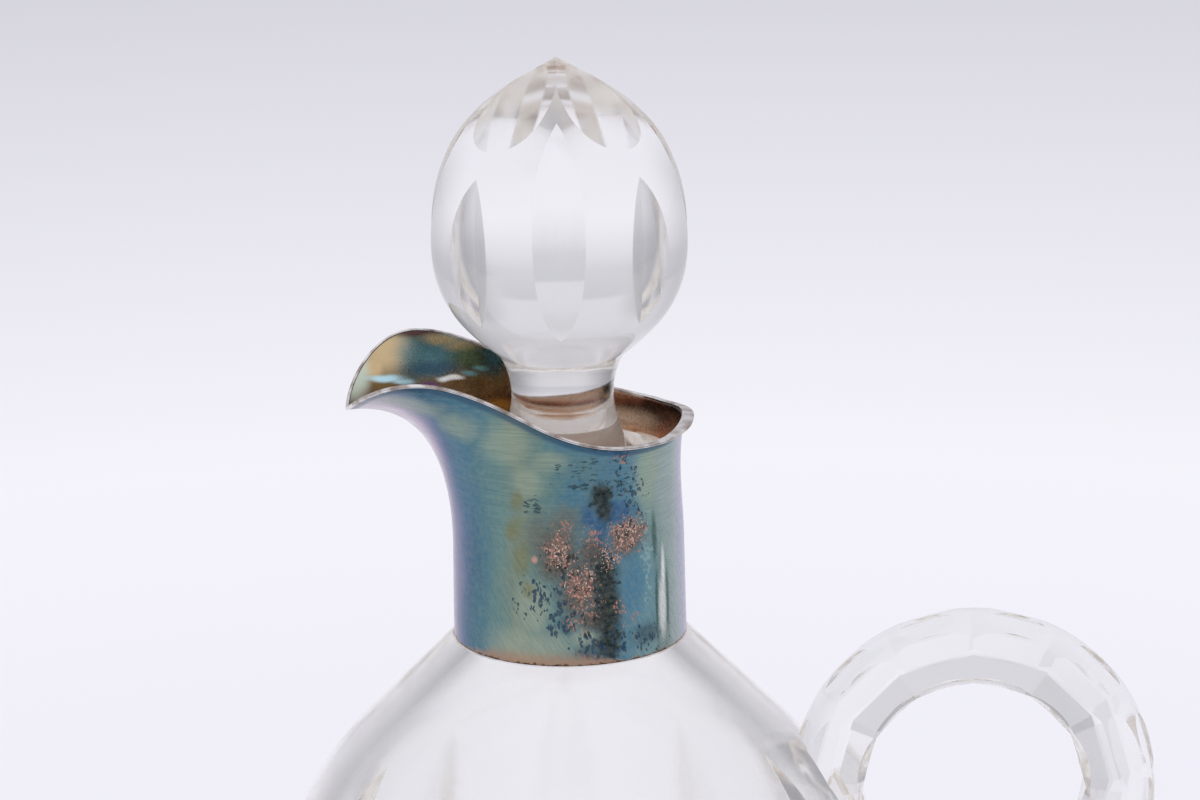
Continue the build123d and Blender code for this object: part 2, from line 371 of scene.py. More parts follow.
def leadCrystal(name, ground):
    # lead crystal, wheel cut and acid polished: clear with bright edges and the faintest waviness, a few
    # millimetres across; where ground it is a grey frost
    material, tree = newMaterial(name)
    place = objectPlace(tree)
    size, strength, depth = crystalLook["frost" if ground else "wave"]
    glass = addNode(tree, "BsdfPrincipled", {
        "Base Color": "#fdfdfc", "IOR": crystalLook["ior"], "Transmission Weight": 1.0,
        "Roughness": crystalLook["ground" if ground else "polish"],
        "Normal": bumped(noiseFrom(place, size * mm, 3.0 if ground else 1.0), strength, depth)})
    # a painted glow: once a path has turned back inside the glass many times, the glass glows there in soft
    # pale and straw-grey tones instead of bending it on
    path = addNode(tree, "LightPath").outputs
    manyBounces = worth("MAXIMUM", worth("GREATER_THAN", path["Glossy Depth"], crystalLook["deepest"]),
                 worth("GREATER_THAN", path["Ray Depth"], crystalLook["longest"]))
    tones = coloured(noiseFrom(place, crystalLook["depthSize"] * mm, 1.0), crystalLook["depths"])
    pale = addNode(tree, "Emission", {"Color": tones})
    clear = addNode(tree, "BsdfTransparent", {"Color": (crystalLook["shadow"],) * 3 + (1.0,)})
    surfaced(mixedShader(path["Is Shadow Ray"], mixedShader(manyBounces, glass, pale), clear))
    return material


print("stage: materials")
polishedCrystal = leadCrystal("polished lead crystal", False)
groundCrystal = leadCrystal("ground lead crystal", True)


globe = {"radius": 57.0, "flatRadius": 35.0, "wall": 5.5, "floor": 9.0, "bevel": 1.0, "collarAbove": 1.7,
         "neckRadius": 18.4, "neckHeight": 35.0, "seatRadius": 22.4, "seatGap": 0.05, "throatRadius": 10.9,
         "steps": 288}
globeCuts = {"pairs": 6, "turn": 2.0, "halfAngle": 69.0, "overrun": 8.0, "long": (46.0, 131.0, 2.8),
             "short": (62.0, 118.0, 2.1)}  # each cut's top and bottom in degrees from the pole, and its depth
starCut = {"rays": 16, "radius": 27.0, "valley": 7.0, "depth": 2.0}
plug = {"offset": -0.6, "mouthRadius": 12.3, "endRadius": 10.4, "length": 26.0, "clearance": 0.04,
        "bevel": 0.8}

globeCentreZ = sqrt(globe["radius"] ** 2 - globe["flatRadius"] ** 2)
collarFootZ = globeCentreZ + globe["radius"] + globe["collarAbove"]
mouthZ = collarFootZ + globe["neckHeight"]


def arc(start, end, radius, count):
    # points of the globe's half section between two heights, in even steps of angle
    first, last = (atan2(z - globeCentreZ, sqrt(max(radius ** 2 - (z - globeCentreZ) ** 2, 0)))
                   for z in (start, end))
    turns = [first + (last - first) * i / count for i in range(count + 1)]
    return [(radius * cos(t), globeCentreZ + radius * sin(t)) for t in turns]


seatZ = collarFootZ - globe["seatGap"]
innerRadius = globe["radius"] - globe["wall"]
# the shoulder runs straight from the collar's foot down to where it meets the globe, this far from the pole
shoulderTurn = atan2(globe["seatRadius"], seatZ - globeCentreZ) + acos(
    globe["radius"] / sqrt(globe["seatRadius"] ** 2 + (seatZ - globeCentreZ) ** 2))


def straight(start, end, count):
    return [tuple(a + (b - a) * i / count for a, b in zip(start, end)) for i in range(1, count + 1)]


def glassBodyProfile():
    g = globe
    hipZ = globeCentreZ + g["radius"] * cos(shoulderTurn)
    outside = arc(g["bevel"], hipZ, g["radius"], 130)
    shoulder = straight(outside[-1], (g["seatRadius"], seatZ), 24)
    innerHip = innerRadius * sin(shoulderTurn), globeCentreZ + innerRadius * cos(shoulderTurn)
    throatZ = innerHip[1] + (innerHip[0] - g["throatRadius"]) * tan(shoulderTurn)
    ground = outside[0][0] - g["bevel"]
    top = [(g["neckRadius"], seatZ), (g["neckRadius"], mouthZ), (g["throatRadius"], mouthZ)]
    innerShoulder = straight((g["throatRadius"], throatZ), innerHip, 24)
    cavity = arc(innerHip[1], g["floor"], innerRadius, 110)[1:]
    return ([(0, 0), (ground, 0)] + outside + shoulder + top + [(g["throatRadius"], throatZ)] + innerShoulder
            + cavity + [(0, g["floor"])])


def polarPoint(angle, radius):
    return radius * sin(radians(angle)) * mm, (globeCentreZ + radius * cos(radians(angle))) * mm


def starTool():
    points, below = [], 0.3
    for step in range(2 * starCut["rays"]):
        reach = (starCut["valley"] if step % 2 else starCut["radius"]) * (1 + below / starCut["depth"]) * mm
        turn = pi * step / starCut["rays"]
        points.append((reach * cos(turn), reach * sin(turn), -below * mm))
    count = len(points)
    points.append((0, 0, starCut["depth"] * mm))
    faces = [tuple(range(count))] + [(step, (step + 1) % count, count) for step in range(count)]
    return newPiece("star tool", points, faces)


def boreTool():
    p = plug
    over = 2.0
    slope = (p["mouthRadius"] - p["endRadius"]) / p["length"]
    profile = [(0, mouthZ - p["length"]), (p["endRadius"] + p["clearance"], mouthZ - p["length"]),
               (p["mouthRadius"] + p["clearance"] + slope * over, mouthZ + over), (0, mouthZ + over)]
    tool = revolved("bore tool", profile, globe["steps"])
    return placed(tool, (p["offset"] * mm, 0, 0))


def glassBody():
    body = revolved("glassBodyAndHandle", glassBodyProfile(), globe["steps"])
    worked(body, starTool())
    worked(body, boreTool())
    tools = {}
    for kind in ("long", "short"):
        top, bottom, depth = globeCuts[kind]
        r = globe["radius"]
        tools[kind] = mitreTool(kind, polarPoint(top, r), polarPoint((top + bottom) / 2, r - depth),
                                polarPoint(bottom, r), globeCuts["halfAngle"], globeCuts["overrun"])
    step = 180 / globeCuts["pairs"]
    for place in range(2 * globeCuts["pairs"]):
        turn = (place * step - 90 + globeCuts["turn"] + 180) % 360 - 180
        if abs(turn) > step / 2:  # the handle's root takes the place of one cut
            worked(body, turnedCopy(tools["short" if place % 2 else "long"], radians(turn)))
    for tool in tools.values():
        discard(tool)
    return body


ring = {"standOff": 23.8, "riseAngle": 19.1, "radius": 27.5, "rod": 7.3, "around": 12,
        "rows": (22.5, 67.5, 112.5, 180.0, 247.5, 292.5, 337.5), "depth": 0.45, "turn": 15.0, "sunk": 1.5,
        "steps": (288, 96)}
ringReach = globe["radius"] + ring["standOff"]
ringCentre = (ringReach * cos(radians(ring["riseAngle"])) * mm, 0.0,
              (globeCentreZ + ringReach * sin(radians(ring["riseAngle"]))) * mm)


def facetTool(rowAngle):
    # one closed band of flats, a twelve-sided hoop with an oblong section
    lean = radians(rowAngle)
    flatAt = ring["rod"] - ring["depth"]
    points = []
    for corner in range(ring["around"]):
        turn = radians(ring["turn"] + (corner + 0.5) * 360 / ring["around"])
        stretch = 1 / cos(pi / ring["around"])
        for out, along in ((0, -6.0), (0, 6.0), (3.0, 6.0), (3.0, -6.0)):
            reach = ring["radius"] + (flatAt + out) * cos(lean) - along * sin(lean)
            side = (flatAt + out) * sin(lean) + along * cos(lean)
            reach *= stretch * mm
            points.append((reach * cos(turn), side * mm, reach * sin(turn)))
    return placed(newPiece("facet tool", points, loopedFaces(ring["around"], 4, closedRows=True)), ringCentre)


def loopHandle():
    around, section = ring["steps"]
    points = []
    for i in range(around):
        turn = 2 * pi * i / around
        for j in range(section):
            lean = 2 * pi * j / section
            reach = (ring["radius"] + ring["rod"] * cos(lean)) * mm
            points.append((reach * cos(turn), ring["rod"] * sin(lean) * mm, reach * sin(turn)))
    handle = placed(newPiece("handle", points, loopedFaces(around, section, closedRows=True)), ringCentre)
    for rowAngle in ring["rows"]:
        worked(handle, facetTool(rowAngle))
    sunk = globe["radius"] - ring["sunk"]  # the ring reaches into the globe before the two are joined
    half = [(sqrt(max(sunk ** 2 - z * z, 0)), z + globeCentreZ) for z in np.linspace(-sunk, sunk, 121)]
    return worked(handle, revolved("root", half, 192))


print("stage: glass body")
body = glassBody()
print("stage: handle")
worked(body, loopHandle(), "UNION")
globeCentre = (0, 0, globeCentreZ * mm)
polished(body, 8, [ballForm(globeCentre, globe["radius"] * mm), ballForm(globeCentre, innerRadius * mm),
                   ringForm(ringCentre, ring["radius"] * mm, ring["rod"] * mm)])


def giveMaterials(piece, materials, chooser):
    piece.data.materials.clear()
    for material in materials:
        piece.data.materials.append(material)
    for face in piece.data.polygons:
        face.material_index = chooser(face)


def bodyFinish(face):
    # the bore that the plug was ground into is frosted
    middle = face.center
    reach = sqrt((middle.x - plug["offset"] * mm) ** 2 + middle.y ** 2)
    inBore = (mouthZ - plug["length"] + 0.1) * mm < middle.z < (mouthZ - 0.1) * mm
    return int(inBore and reach < (plug["mouthRadius"] + 1) * mm)


giveMaterials(body, [polishedCrystal, groundCrystal], bodyFinish)
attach(body, "jug")
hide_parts("glass_body", "loop_handle")


# flare, waist and crease are radii and heights above the mouth; the other places are how far in from the
# knob's radius and above its middle, the cuts' being top, deepest and bottom
knob = {"radius": 24.5, "centreRise": 45.0, "flare": (10.86, 6.1), "waist": (9.7, 11.2),
        "crease": (11.9, 20.3), "belly": (3.6, -15.5), "shoulder": (6.1, 18.5), "crown": (14.5, 26.6),
        "blankRise": 33.4,
        "apexRise": 32.6, "ridgeFall": 0.55, "facets": 4, "pairs": 4, "halfAngle": 68.0, "overrun": 14.0,
        "long": ((11.2, 24.2), (2.7, 2.5), (4.3, -16.0)), "short": ((3.0, 13.0), (2.4, -0.5), (3.5, -14.8)),
        "steps": 288}


def onKnob(place):
    return knob["radius"] - place[0], knob["centreRise"] + place[1]


def splineThrough(points, perSpan):
    # natural cubic through the points, by chord length
    p = np.array(points, float)
    t = np.concatenate([[0], np.cumsum(np.linalg.norm(np.diff(p, axis=0), axis=1))])
    h = np.diff(t)
    n = len(p)
    a = np.zeros((n, n))
    b = np.zeros((n, 2))
    a[0, 0] = a[-1, -1] = 1
    for i in range(1, n - 1):
        a[i, i - 1], a[i, i], a[i, i + 1] = h[i - 1], 2 * (h[i - 1] + h[i]), h[i]
        b[i] = 6 * ((p[i + 1] - p[i]) / h[i] - (p[i] - p[i - 1]) / h[i - 1])
    m = np.linalg.solve(a, b)
    line = []
    for i in range(n - 1):
        for k in range(perSpan):
            u = h[i] * k / perSpan
            v = h[i] - u
            line.append((m[i] * v ** 3 + m[i + 1] * u ** 3) / (6 * h[i])
                        + (p[i] / h[i] - m[i] * h[i] / 6) * v + (p[i + 1] / h[i] - m[i + 1] * h[i] / 6) * u)
    return [tuple(q) for q in line] + [tuple(p[-1])]


def stopperProfile():
    x, z, radius = circleThrough(knob["flare"], knob["waist"], knob["crease"])
    first = atan2(knob["flare"][1] - z, knob["flare"][0] - x) % (2 * pi)
    last = atan2(knob["crease"][1] - z, knob["crease"][0] - x) % (2 * pi)
    turns = [first + (last - first) * i / 24 for i in range(25)]
    waist = [(x + radius * cos(t), z + radius * sin(t)) for t in turns]
    swell = splineThrough([knob["crease"], onKnob(knob["belly"]), onKnob((0, 0)), onKnob(knob["shoulder"]),
                           onKnob(knob["crown"]), (0, knob["centreRise"] + knob["blankRise"])], 26)
    ground = [(0, -plug["length"]), (plug["endRadius"] - plug["bevel"], -plug["length"]),
              (plug["endRadius"], plug["bevel"] - plug["length"]), (plug["mouthRadius"], 0)]
    return ground, waist, swell[1:]


def crownTool(apex, fall, turn):
    # a thick slab whose underside is one crown facet
    size = 60 * mm
    corners = [(sx * size, sy * size, sz) for sz in (0, 25 * mm) for sy in (-1, 1) for sx in (-1, 1)]
    faces = [(0, 1, 3, 2), (4, 5, 7, 6), (0, 1, 5, 4), (2, 3, 7, 6), (0, 2, 6, 4), (1, 3, 7, 5)]
    tool = newPiece("crown tool", corners, faces)
    tool.data.transform(Matrix.Translation((0, 0, apex)) @ Matrix.Rotation(turn, 4, "Z")
                        @ Matrix.Rotation(fall, 4, "Y"))
    return tool


def stopperPiece():
    ground, waist, swell = stopperProfile()
    piece = revolved("stopper", ground + waist + swell, knob["steps"])
    forms = [turnedForm(inMetres(waist + swell[:-8]))]
    fall = atan2(knob["ridgeFall"] * sqrt(2), 1)
    apex = (knob["centreRise"] + knob["apexRise"]) * mm
    for facet in range(knob["facets"]):
        turn = pi / 4 + facet * 2 * pi / knob["facets"]
        worked(piece, crownTool(apex, fall, turn))
        forms.append(flatForm((0, 0, apex), (sin(fall) * cos(turn), sin(fall) * sin(turn), cos(fall))))
    for kind, first in (("long", 0), ("short", 1)):
        path = [tuple(v * mm for v in onKnob(place)) for place in knob[kind]]
        tool = mitreTool(kind, *path, knob["halfAngle"], knob["overrun"])
        for place in range(first, 2 * knob["pairs"], 2):
            worked(piece, turnedCopy(tool, pi * place / knob["pairs"]))
        discard(tool)
    polished(piece, 7, forms)
    return placed(piece, (plug["offset"] * mm, 0, mouthZ * mm))


print("stage: stopper")
stopper = stopperPiece()
giveMaterials(stopper, [polishedCrystal, groundCrystal],
              lambda face: int(face.center.z < (mouthZ + 0.3) * mm and abs(face.normal.z) < 0.5))
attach(stopper, "stopper")
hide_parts("stopper")


collar = {"topRadius": 21.7, "taper": 0.4, "wall": 0.7, "flareStart": 18.0, "backZ": 41.8, "backFlare": 0.8,
          "lowZ": 41.0, "lowX": 18.0, "risePower": 1.25, "roundEnd": 110.0, "crestX": 28.0, "crestHalf": 18.9,
          "crestZ": 54.2, "lipX": 40.9, "lipZ": 44.8, "droop": 5.0, "rootPull": 20.0, "edgePull": 12.0,
          "backTilt": 76.0, "backEdgePull": 8.0, "roundRows": 76, "sideRows": 40, "lipRows": 48,
          "tubeRows": 16, "flareRows": 56, "dent": 0.06, "dentSize": 14.0, "dentsFrom": 6.0, "lipRound": 0.12,
          "footRound": 0.25}


def rimHeight(x):
    c = collar
    if x > c["lowX"]:
        return c["lowZ"] + (c["backZ"] - c["lowZ"]) * ((x - c["lowX"]) / (c["topRadius"] - c["lowX"])) ** 2
    rise = ((c["lowX"] - x) / (c["lowX"] + c["crestX"])) ** c["risePower"]
    return c["lowZ"] + (c["crestZ"] - c["lowZ"]) * rise ** 2 * (3 - 2 * rise)


def bezier(points, t):
    a, b, c, d = points
    s = 1 - t
    return a * s ** 3 + b * (3 * s * s * t) + c * (3 * s * t * t) + d * t ** 3


def rimPoints():
    # one side's rim from the handle round to the lip
    c = collar
    turn = radians(c["roundEnd"])
    roundEnd = Vector((cos(turn), sin(turn), 0)) * c["topRadius"]
    onward = Vector((-sin(turn), cos(turn), 0))
    crest = Vector((-c["crestX"], c["crestHalf"], 0))
    pull = (roundEnd - crest).length / 3
    side = (roundEnd, roundEnd + onward * pull, crest + Vector((pull, 0, 0)), crest)
    points = []
    for row in range(c["roundRows"]):
        turn = radians(c["roundEnd"] * row / c["roundRows"])
        reach = c["topRadius"] + c["backFlare"] * max(cos(turn), 0) ** 2
        points.append((reach * cos(turn), reach * sin(turn), rimHeight(reach * cos(turn))))
    for row in range(c["sideRows"]):
        spot = bezier(side, row / c["sideRows"])
        points.append((spot.x, spot.y, rimHeight(spot.x)))
    for row in range(c["lipRows"] + 1):
        turn = pi / 2 * row / c["lipRows"]
        x = -c["crestX"] - (c["lipX"] - c["crestX"]) * sin(turn)
        z = c["lipZ"] + (c["crestZ"] - c["lipZ"]) * max(cos(turn), 0) ** 1.4
        points.append((x, c["crestHalf"] * cos(turn), z))
    return points


def collarProfile(rim):
    c = collar
    rim = Vector(rim)
    outward = Vector((rim.x, rim.y, 0)).normalized()
    reach = Vector((rim.x, rim.y, 0)).length
    footRadius = c["topRadius"] + c["taper"]
    rootRadius = footRadius - c["taper"] * c["flareStart"] / c["backZ"]
    back = max(outward.x, 0) ** 2
    lean = 0 if back else max((reach - c["topRadius"]) / (c["lipX"] - c["topRadius"]), 0)
    even = (rim.z - c["flareStart"]) / 3
    rootPull = even + (c["rootPull"] - even) * lean
    edgePull = even + (c["edgePull"] - even) * lean + (c["backEdgePull"] - even) * back
    tilt = radians(90 - (90 + c["droop"]) * lean ** 1.5 - (90 - c["backTilt"]) * back)
    up = Vector((0, 0, 1))
    root = outward * rootRadius + up * c["flareStart"]
    edge = outward * (reach - edgePull * cos(tilt)) + up * (rim.z - edgePull * sin(tilt))
    curve = (root, root + up * rootPull, edge, outward * reach + up * rim.z)
    foot = outward * footRadius
    tube = [foot + (root - foot) * (row / c["tubeRows"]) for row in range(c["tubeRows"])]
    return tube + [bezier(curve, row / c["flareRows"]) for row in range(c["flareRows"] + 1)]


def collarSurface():
    # outer face as an array: places round the rim, places up the wall, and its normals
    half = rimPoints()
    rims = half + [(x, -y, z) for x, y, z in half[-2:0:-1]]
    surface = np.array([[tuple(p) for p in collarProfile(rim)] for rim in rims])
    around = np.roll(surface, -1, 0) - np.roll(surface, 1, 0)
    upward = np.gradient(surface, axis=1)
    across = unit(np.cross(around, upward))
    if np.sum(across[0, 0] * (1, 0, 0)) < 0:
        across = -across
    dents = np.array([[noise.noise(Vector(p) / collar["dentSize"]) for p in row] for row in surface])
    heightShare = np.clip(surface[:, :, 2] / collar["dentsFrom"], 0, 1)
    surface = surface + across * (dents * heightShare * collar["dent"])[:, :, None]
    return surface, across


def spoutCollar(surface, across):
    # outside up, over the rim, inside down and under the foot, all as one skin
    lip, foot = collar["lipRound"], collar["footRound"]
    inside = surface - across * collar["wall"]
    upEdge = unit(surface[:, -1] - surface[:, -2])
    columns, levels = surface.shape[0], range(surface.shape[1] - 1)
    rows = [surface[:, 0] - across[:, 0] * foot]
    rows += [surface[:, 0] - across[:, 0] * (foot * 0.3) + np.array((0, 0, foot * 0.3))]
    rows += [surface[:, k] + (np.array((0, 0, foot)) if k == 0 else 0) for k in levels]
    rows += [surface[:, -1] - upEdge * lip, surface[:, -1] - across[:, -1] * lip]
    rows += [inside[:, -1] + across[:, -1] * lip, inside[:, -1] - upEdge * lip]
    rows += [inside[:, k] for k in reversed(levels)]
    points = np.concatenate(rows) * mm + np.array((0, 0, collarFootZ * mm))
    piece = newPiece("spoutCollar", points, loopedFaces(len(rows), columns, closedRows=True))
    # how far up its wall each place is, from the foot to the rim
    climb = np.linalg.norm(np.diff(surface, axis=1), axis=2).cumsum(axis=1)
    climb = np.concatenate([np.zeros((columns, 1)), climb / climb[:, -1:]], axis=1)
    upward = [climb[:, k] for k in levels]
    marked(piece, "upTheWall", np.concatenate([climb[:, 0]] * 2 + upward + [climb[:, -1]] * 4 + upward[::-1]))
    outsideRows = surface.shape[1] + 3
    return piece, outsideRows * columns


print("stage: collar")
collarFace, collarAcross = collarSurface()
collarPiece, outsideFaces = spoutCollar(collarFace, collarAcross)
polished(collarPiece, 30)


def stained(spot, spots):
    # one mask for a group of soft oval spots, each as two middles and two half sizes
    masks = []
    for across, up, halfAcross, halfUp in spots:
        away = addNode(spot.id_data, "VectorMath", {"operation": "SUBTRACT", 0: spot, 1: (across, up, 0)})
        reach = lengthOf(scaledBy(away.outputs[0], (1 / halfAcross, 1 / halfUp, 0)))
        masks.append(between(reach, 0.3, 1.3, 1.0, 0.0))
    return reduce(lambda whole, mask: worth("MAXIMUM", whole, mask), masks)


# cell size in mm, draw along the wall's two ways, and how much of its cell a spot fills at most
spotKinds = {"flecks": (0.8, (0.8, 1.7, 1), 0.6), "specks": (0.44, (0.85, 1.25, 1), 0.58),
             "glints": (0.36, (0.9, 1.2, 1), 0.4), "dashes": (0.62, (3.6, 0.8, 1), 0.55)}


def spotted(place, mask, kind):
    # separate spots of uneven size, thick in the middle of a stain and sparse at its edge
    size, stretch, most = spotKinds[kind]
    cells = addNode(place.id_data, "TexVoronoi", {
        "Scale": 1.0, "Vector": scaledBy(place, [1 / (size * k) for k in stretch])})
    chance = addNode(place.id_data, "SeparateColor", {0: cells.outputs["Color"]}).outputs[0]
    reach = times(times(mask, most), between(chance, 0.1, 0.8, 0.25, 1.0))
    return between(minus(cells.outputs["Distance"], reach), -0.08, 0.03, 1.0, 0.0)


def grained(place, mask):
    # breaks a stain's edge up with a fine grain
    return between(plus(noiseFrom(place, 0.9), times(minus(mask, 1.0), 0.4)), 0.36, 0.5)


def plateShader(colour, roughness, bumpHeight, strength):
    # a metal whose tint is the film's, with its scratches raised
    surfaced(addNode(colour.id_data, "BsdfPrincipled", {
        "Metallic": 1.0, "Base Color": colour, "Roughness": roughness,
        "Normal": bumped(bumpHeight, strength, 0.05)}))


def collarPlace(tree):
    # a place on the collar in millimetres: along the jug, across it, and up from the collar's foot
    x, y, z = (worth("DIVIDE", part, mm) for part in partsOf(objectPlace(tree)))
    return x, y, minus(z, collarFootZ)


def swayed(value, noiseValue, amount):
    return plus(value, times(minus(noiseValue, 0.5), amount))


# Places on the outside are degrees round from the front, positive towards the handle, and millimetres above
# the foot. The film's bands run round the wall; sway and ragged are how far its stains wander, both ways.
outsideFilm = {
    "scale": 22.0, "wander": 30.0, "settled": (62.0, 86.0), "paintedSheenUnderSpout": 12.0, "sway": (12.0, 4.0),
    "ragged": (22.0, 8.0), "bend": 1.6, "brushed": (18.0, 34.0), "scrubAngle": 58.0, "pits": 9.0,
    "pitsFrom": (30, 36), "grime": (0.5, 1.9), "grimeLeft": (-65, -30, 0, 30), "underRim": (0.965, 0.985),
    "roughness": (0.24, 0.36),
    # the bands are partly painted light: they pale towards the handle side, and the lavender at both ends is
    # a painted sheen of the plate seen edge-on
    "bands": ((-90, "#e0d3dc"), (-82, "#b9abc2"), (-74, "#8583a4"), (-65, "#566f92"), (-56, "#496f86"),
              (-46, "#527c8a"), (-36, "#6b8c89"), (-26, "#80907f"), (-15, "#6c8b84"), (-5, "#628789"),
              (8, "#5c828b"), (20, "#527c90"), (33, "#5f8896"), (43, "#7b9a99"), (54, "#93a7a2"),
              (66, "#a3b0b0"), (77, "#adacc3"), (84, "#bbb3ce"), (90, "#dcd6e5"))}

# colour, strength, how a stain ends (soft, exact, broken up by grain, or in separate spots), and its spots
outsideStains = {
    "sage upper wall": ("#a3b098", 0.55, "soft", (
        (44, 36, 9, 9), (-30, 43, 13, 4.5), (-20, 36, 10, 4), (-9, 40, 10, 2.5), (-50, 46, 11, 3.4),
        (-63, 49.5, 12, 3), (-135, 33, 20, 8), (150, 12, 24, 7))),
    "blue upper wall": ("#437893", 0.5, "soft", (
        (-54, 40, 8, 5), (6, 43.5, 19, 2.0), (4, 34, 9, 3.5), (-58, 32, 8, 9))),
    "sage low wall": ("#a3ad97", 0.72, "soft", ((-20, 3.6, 27, 4.2), (-19, 11, 10, 7), (8, 5, 9, 3))),
    "teal low wall": ("#6494a4", 0.5, "soft", ((44, 12, 11, 12),)),
    "olive": ("#7f7a45", 0.6, "soft", (
        (-26.5, 32, 4, 2.2), (-27, 26.5, 5, 2.6), (-23, 21, 5, 4), (-20, 15, 4, 2.4), (-150, 24, 12, 8),
        (128, 33, 10, 5))),
    "brown haze": ("#6e675c", 0.6, "soft", (
        (-14, 25.5, 9, 5.5), (-2, 28, 10, 4), (160, 20, 16, 8), (-120, 10, 12, 7))),
    "brown film": ("#5c4e44", 0.9, "soft", (
        (5, 16, 13, 8), (-5, 21.5, 12, 6.5), (12, 22, 9, 4), (31, 24.5, 11, 4), (12, 9.5, 10, 3))),
    "blue film": ("#2c5884", 0.8, "soft", ((25, 29.6, 13, 2.6), (15, 27, 5, 3.4), (10, 29, 5, 3))),
    "clear blue": ("#4a7c98", 0.62, "soft", ((34, 14, 8, 7),)),
    "navy smudge": ("#2b4656", 0.75, "soft", ((10, 2.4, 9, 2.4), (40, 4.6, 10, 2.6), (-2, 8, 5, 2))),
    "soft black": ("#22221d", 0.95, "soft", (
        (16.6, 33, 6.4, 3.0), (18.8, 30.4, 5, 3.0), (18.4, 17, 8.5, 6.5), (18.8, 10.5, 8, 7.5),
        (19.4, 4.0, 7, 5))),
    "black run": ("#1b1e1c", 0.9, "grain", (
        (18.5, 18, 8, 5), (19, 12, 7, 8), (19, 5, 8, 6), (17, 32.5, 7, 4))),
    "blue flecks": ("#223a52", 0.9, "flecks", (
        (36, 31, 9, 7), (29, 37, 11, 5), (44, 3.4, 17, 4), (14, 3.6, 25, 4.4), (-4, 9, 13, 5.5),
        (-19, 13, 13, 5.5), (-2, 15, 12, 7), (27, 41.4, 11, 1.5), (146, 6, 26, 6), (-128, 30, 14, 6))),
    "copper blush": ("#936c5d", 0.6, "grain", ((-5, 22.6, 9, 4.4), (31, 24.8, 13, 4.4), (6, 15.5, 9, 5))),
    "dark specks": ("#2a2622", 0.85, "flecks", (
        (-4, 21, 13, 7), (8, 15, 12, 7), (31, 24.5, 14, 5), (10, 9, 14, 5))),
    "copper showing": ("#b8836f", 0.95, "specks", (
        (-5, 22.6, 12, 5.6), (31, 24.8, 16, 5.6), (21, 21.5, 8, 4), (6, 15.5, 13, 6), (9, 11.8, 9, 3.4),
        (3, 9.6, 9, 2), (26, 11, 4, 2.6), (29, 40.6, 8, 1.6), (4, 8, 8, 2.6), (31, 8.5, 6, 2), (-3, 27, 6, 3),
        (13, 25, 8, 4), (160, 20, 12, 6), (-118, 9, 8, 4))),
    # painted highlights: bright glints laid on the copper specks
    "copper glints": ("#efd0c2", 0.95, "glints", (
        (-5, 22.5, 9, 5), (32, 25, 13, 4.4), (6, 16, 10, 5), (20, 21, 8, 4))),
    "scratches": ("#24404c", 0.85, "dashes", (
        (4, 37, 16, 4.4), (18, 41, 20, 2.6), (-17, 31, 6, 2.4), (30, 35, 9, 3))),
    # painted reflection: a pale highlight streak on the handle side where the plate mirrors something bright,
    # with dark lines along its edges
    "painted reflection edges": ("#3d5a56", 0.85, "exact", ((47.5, 23, 2.2, 5.5), (57, 10, 1.7, 7), (48.4, 10, 1.2, 8))),
    "painted bright highlight": ("#f6fbf9", 1.0, "exact", ((52.8, 9.0, 3.4, 7.0), (53.6, 15, 1.8, 6))),
    "pale scuff": ("#a3bfbe", 0.5, "grain", ((42, 19, 2.6, 13),)),
    "pink spot": ("#d29c8a", 1.0, "exact", ((-17, 20.9, 1.7, 0.75),))}


